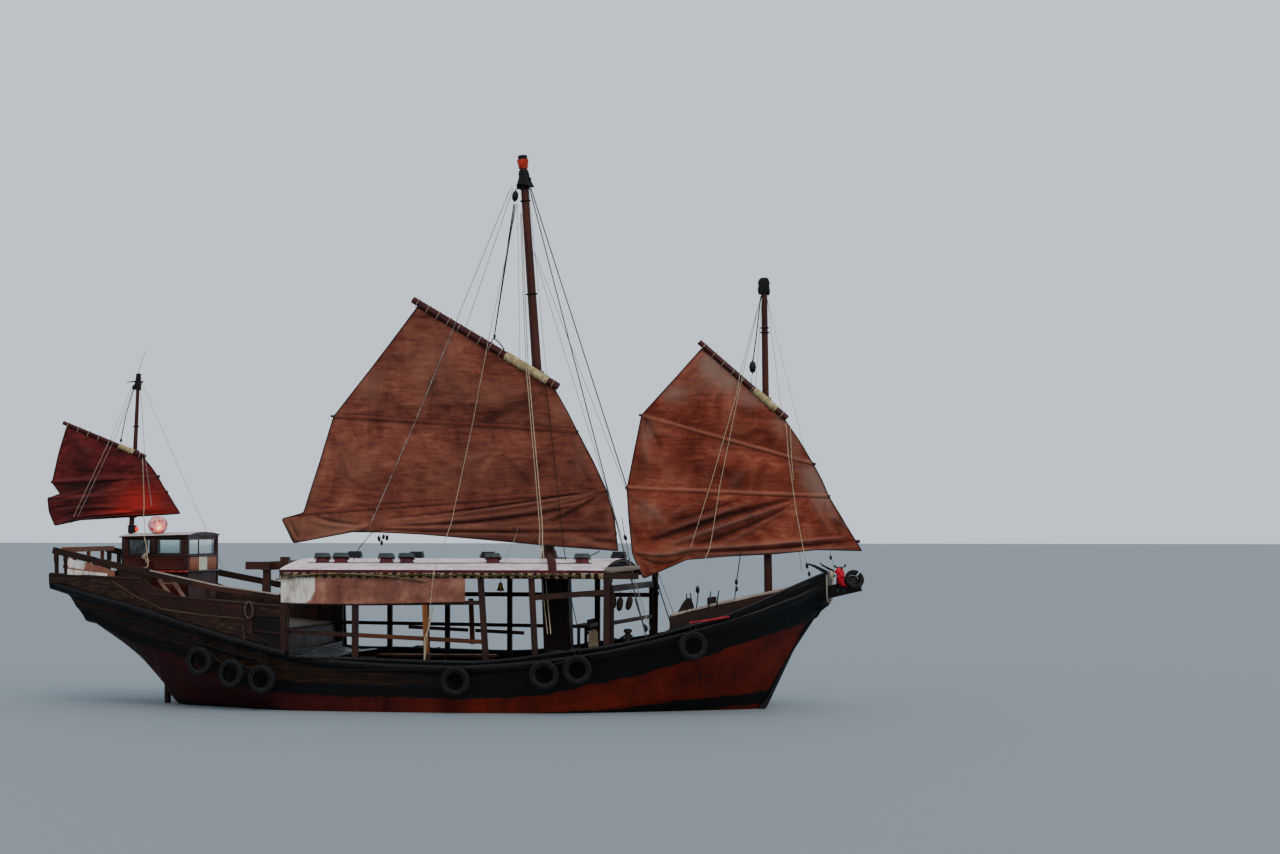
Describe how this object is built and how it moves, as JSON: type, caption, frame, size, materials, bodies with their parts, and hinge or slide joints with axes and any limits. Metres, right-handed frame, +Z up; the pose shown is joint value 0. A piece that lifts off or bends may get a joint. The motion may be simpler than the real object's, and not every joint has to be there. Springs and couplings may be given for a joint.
{
  "type": "three-masted wooden fishing junk",
  "caption": "Wooden Chinese fishing junk with raked masts, battened brown sails, an awning deckhouse, a poop steering cabin and tyre fenders.",
  "frame": {"origin": "on the centreline at the waterline, near the middle of the hull's length", "axes": "+X to the bow, +Y to port, +Z up"},
  "size_m": [18.4586, 5.673, 13.6562],
  "materials": {
    "black_paint": "worn gloss marine paint on planks",
    "varnished_planks": "dark oiled hardwood planks",
    "cabin_wood": "varnished orange-brown hardwood",
    "deck_boards": "bare weathered boards",
    "mast_wood": "oiled red-brown fir",
    "sail_cloth": "tanbark-dyed cotton canvas",
    "roof_cover": "pale coated awning cloth on boards",
    "tyre_rubber": "old matt tyre rubber",
    "wire_rope": "galvanised wire rope",
    "lantern_paper": "red and white lantern paper",
    "banner_cloth": "faded red-brown coated cloth",
    "bronze": "cast manganese bronze"
  },
  "bodies": {
    "hull": {"hull": "black_paint", "stern_board": "black_paint", "bow_board": "black_paint", "keel": "black_paint", "stem_post": "black_paint", "wale_starboard": "black_paint", "wale_port": "black_paint", "poop_deck": "deck_boards", "main_deck": "deck_boards", "fore_deck": "deck_boards", "fore_coaming": "deck_boards", "bulwark_starboard": "varnished_planks", "bulwark_port": "varnished_planks", "poop_bulkhead": "varnished_planks", "fore_bulkhead": "varnished_planks", "deckhouse_frame_starboard": "varnished_planks", "deckhouse_frame_port": "varnished_planks", "bench_starboard": "varnished_planks", "bench_port": "varnished_planks", "pin_rail": "varnished_planks", "fore_frame": "varnished_planks", "side_banner": "banner_cloth", "stern_banner": "banner_cloth", "poop_rail_starboard": "varnished_planks", "poop_rail_port": "varnished_planks", "cabin": "cabin_wood", "cabin_roof": "deck_boards", "ladder": "varnished_planks", "bow_beam": "varnished_planks", "fore_bitts": "varnished_planks", "main_mast": "mast_wood", "fore_mast": "mast_wood", "mizzen_mast": "mast_wood", "main_mast_case": "mast_wood", "taffrail": "mast_wood", "poop_gallows": "mast_wood", "main_stay_starboard": "wire_rope", "main_stay_port": "wire_rope", "deckhouse_roof": "roof_cover", "lantern": "lantern_paper", "tyres_starboard": "tyre_rubber", "tyres_port": "tyre_rubber", "bow_tyre": "tyre_rubber"},
    "main_sail_set": {"main_sail": "sail_cloth", "main_yard": "mast_wood", "main_boom": "mast_wood", "main_batten_1": "mast_wood", "main_batten_2": "mast_wood"},
    "fore_sail_set": {"fore_sail": "sail_cloth", "fore_yard": "mast_wood", "fore_boom": "mast_wood", "fore_batten_1": "mast_wood", "fore_batten_2": "mast_wood"},
    "mizzen_sail_set": {"mizzen_sail": "sail_cloth", "mizzen_yard": "mast_wood", "mizzen_boom": "mast_wood", "mizzen_batten_1": "mast_wood", "mizzen_batten_2": "mast_wood"},
    "rudder": {"rudder": "varnished_planks"},
    "propeller": {"propeller": "bronze"}
  },
  "joints": [
    {"name": "main_sail_swing", "type": "hinge", "parent": "hull", "child": "main_sail_set", "pos_m": [2.66, 0, 0.64], "axis": [-0.0696, 0, 0.9976], "range_deg": [-60, 60]},
    {"name": "fore_sail_swing", "type": "hinge", "parent": "hull", "child": "fore_sail_set", "pos_m": [7.325, 0, 2.13], "axis": [-0.0121, 0, 0.9999], "range_deg": [-60, 60]},
    {"name": "mizzen_sail_swing", "type": "hinge", "parent": "hull", "child": "mizzen_sail_set", "pos_m": [-7.185, 0, 2.44], "axis": [0.0409, 0, 0.9992], "range_deg": [-60, 60]},
    {"name": "rudder_turn", "type": "hinge", "parent": "hull", "child": "rudder", "pos_m": [-6.25, 0, 0], "axis": [0, 0, 1], "range_deg": [-35, 35]},
    {"name": "propeller_spin", "type": "hinge", "parent": "hull", "child": "propeller", "pos_m": [-5.7, 0, -0.895], "axis": [0.9959, 0, 0.0901], "continuous": true}
  ]
}
